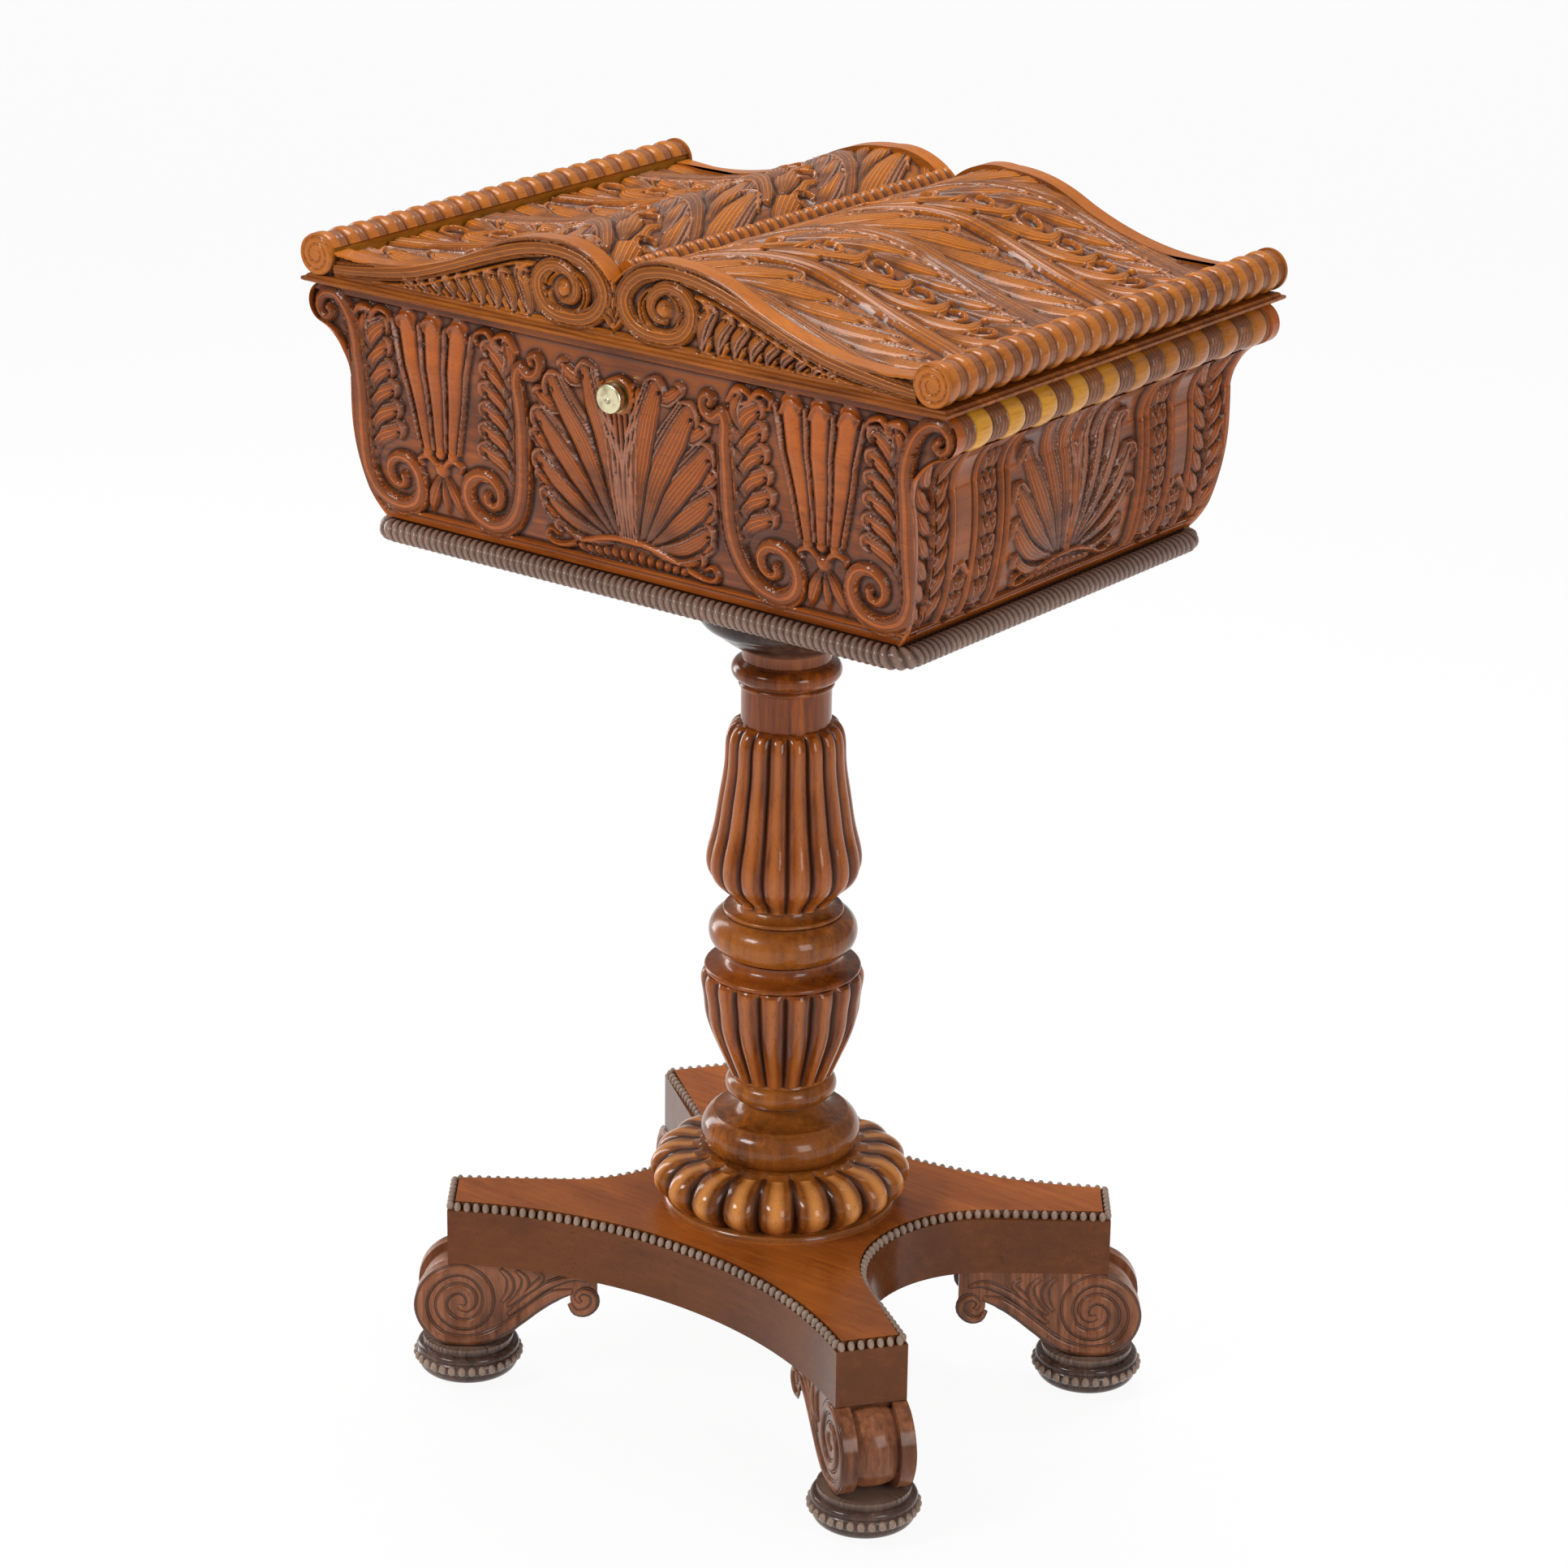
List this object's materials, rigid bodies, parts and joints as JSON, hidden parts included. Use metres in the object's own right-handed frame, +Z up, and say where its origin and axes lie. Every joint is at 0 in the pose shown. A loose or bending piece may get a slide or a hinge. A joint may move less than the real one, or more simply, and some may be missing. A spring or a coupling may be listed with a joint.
{
  "type": "tea chest on stand",
  "caption": "Carved tea chest with a double-arched hinged lid, on a turned and reeded column, a beaded four-armed platform and scroll feet with sunk castors.",
  "frame": {"origin": "on the floor, under the middle of the column", "axes": "+Z is up, +X along the long front towards the right end, and the front faces -Y"},
  "size_m": [0.4824, 0.349, 0.7884],
  "materials": {
    "rosewood": "french polished",
    "dark_rosewood": "french polished",
    "mahogany": "satin",
    "brass": "lacquered",
    "steel": "plain",
    "glass": "polished"
  },
  "bodies": {
    "stand": {"platform": "rosewood", "platform_beading": "dark_rosewood", "foot_front_left": "rosewood", "foot_front_right": "rosewood", "foot_back_right": "rosewood", "foot_back_left": "rosewood", "foot_disc_front_left": "dark_rosewood", "foot_disc_front_right": "dark_rosewood", "foot_disc_back_right": "dark_rosewood", "foot_disc_back_left": "dark_rosewood", "castor_sockets": "brass", "column_base_disc": "rosewood", "column_gadroon_disc": "rosewood", "column_lower_turning": "rosewood", "column_vase": "rosewood", "column_upper_torus": "rosewood", "column_reeded_section": "rosewood", "column_neck": "rosewood", "column_top_plate": "rosewood", "box_floor": "mahogany", "box_front_panel": "rosewood", "box_back_panel": "rosewood", "box_left_panel": "rosewood", "box_right_panel": "rosewood", "box_left_rail": "rosewood", "box_right_rail": "rosewood", "box_bead_moulding": "rosewood", "caddy_tray": "rosewood", "hinge_box_leaves": "brass", "hinge_pins": "brass", "button_bush": "brass", "catch_bracket": "brass", "button_spring": "steel", "fixing_screws": "steel"},
    "lid": {"lid_board": "rosewood", "lid_top_left": "rosewood", "lid_top_right": "rosewood", "lid_front_scrolls": "rosewood", "lid_back_scrolls": "rosewood", "lid_valley_band": "rosewood", "lid_left_roll": "rosewood", "lid_right_roll": "rosewood", "hinge_lid_leaves": "brass", "catch_striker": "brass"},
    "button": {"push_button": "brass", "catch_hook": "brass"},
    "caddy_left": {"caddy_left": "rosewood"},
    "caddy_lid_left": {"caddy_lid_left": "rosewood"},
    "caddy_right": {"caddy_right": "rosewood"},
    "caddy_lid_right": {"caddy_lid_right": "rosewood"},
    "mixing_bowl_front": {"mixing_bowl_front": "glass"},
    "mixing_bowl_back": {"mixing_bowl_back": "glass"},
    "castor_fork_front_left": {"castor_fork_front_left": "brass"},
    "castor_wheel_front_left": {"castor_wheel_front_left": "brass"},
    "castor_fork_front_right": {"castor_fork_front_right": "brass"},
    "castor_wheel_front_right": {"castor_wheel_front_right": "brass"},
    "castor_fork_back_right": {"castor_fork_back_right": "brass"},
    "castor_wheel_back_right": {"castor_wheel_back_right": "brass"},
    "castor_fork_back_left": {"castor_fork_back_left": "brass"},
    "castor_wheel_back_left": {"castor_wheel_back_left": "brass"}
  },
  "joints": [
    {"name": "lid_hinge", "type": "hinge", "parent": "stand", "child": "lid", "pos_m": [0, 0.1698, 0.73185], "axis": [-1, 0, 0], "range_deg": [0, 95]},
    {"name": "button_press", "type": "slide", "parent": "stand", "child": "button", "axis": [0, 1, 0], "range_m": [0, 0.0025], "stiffness_N_per_m": 400, "springref_m": -0.002, "deforming": ["button_spring"]},
    {"name": "caddy_left_lift", "type": "slide", "parent": "stand", "child": "caddy_left", "axis": [0, 0, 1], "range_m": [0, 0.02]},
    {"name": "caddy_lid_left_lift", "type": "slide", "parent": "caddy_left", "child": "caddy_lid_left", "axis": [0, 0, 1], "range_m": [0, 0.02]},
    {"name": "caddy_right_lift", "type": "slide", "parent": "stand", "child": "caddy_right", "axis": [0, 0, 1], "range_m": [0, 0.02]},
    {"name": "caddy_lid_right_lift", "type": "slide", "parent": "caddy_right", "child": "caddy_lid_right", "axis": [0, 0, 1], "range_m": [0, 0.02]},
    {"name": "mixing_bowl_front_lift", "type": "slide", "parent": "stand", "child": "mixing_bowl_front", "axis": [0, 0, 1], "range_m": [0, 0.04]},
    {"name": "mixing_bowl_back_lift", "type": "slide", "parent": "stand", "child": "mixing_bowl_back", "axis": [0, 0, 1], "range_m": [0, 0.04]},
    {"name": "castor_front_left_swivel", "type": "hinge", "parent": "stand", "child": "castor_fork_front_left", "pos_m": [-0.16132, -0.12157, 0.021], "axis": [0, 0, 1], "continuous": true},
    {"name": "castor_front_left_roll", "type": "hinge", "parent": "castor_fork_front_left", "child": "castor_wheel_front_left", "pos_m": [-0.15605, -0.1176, 0.009], "axis": [-0.6018, 0.7986, 0], "continuous": true},
    {"name": "castor_front_right_swivel", "type": "hinge", "parent": "stand", "child": "castor_fork_front_right", "pos_m": [0.16132, -0.12157, 0.021], "axis": [0, 0, 1], "continuous": true},
    {"name": "castor_front_right_roll", "type": "hinge", "parent": "castor_fork_front_right", "child": "castor_wheel_front_right", "pos_m": [0.15735, -0.1163, 0.009], "axis": [-0.7986, -0.6018, 0], "continuous": true},
    {"name": "castor_back_right_swivel", "type": "hinge", "parent": "stand", "child": "castor_fork_back_right", "pos_m": [0.16132, 0.12157, 0.021], "axis": [0, 0, 1], "continuous": true},
    {"name": "castor_back_right_roll", "type": "hinge", "parent": "castor_fork_back_right", "child": "castor_wheel_back_right", "pos_m": [0.16086, 0.12815, 0.009], "axis": [-0.9976, -0.0698, 0], "continuous": true},
    {"name": "castor_back_left_swivel", "type": "hinge", "parent": "stand", "child": "castor_fork_back_left", "pos_m": [-0.16132, 0.12157, 0.021], "axis": [0, 0, 1], "continuous": true},
    {"name": "castor_back_left_roll", "type": "hinge", "parent": "castor_fork_back_left", "child": "castor_wheel_back_left", "pos_m": [-0.15802, 0.12728, 0.009], "axis": [-0.866, 0.5, 0], "continuous": true}
  ]
}
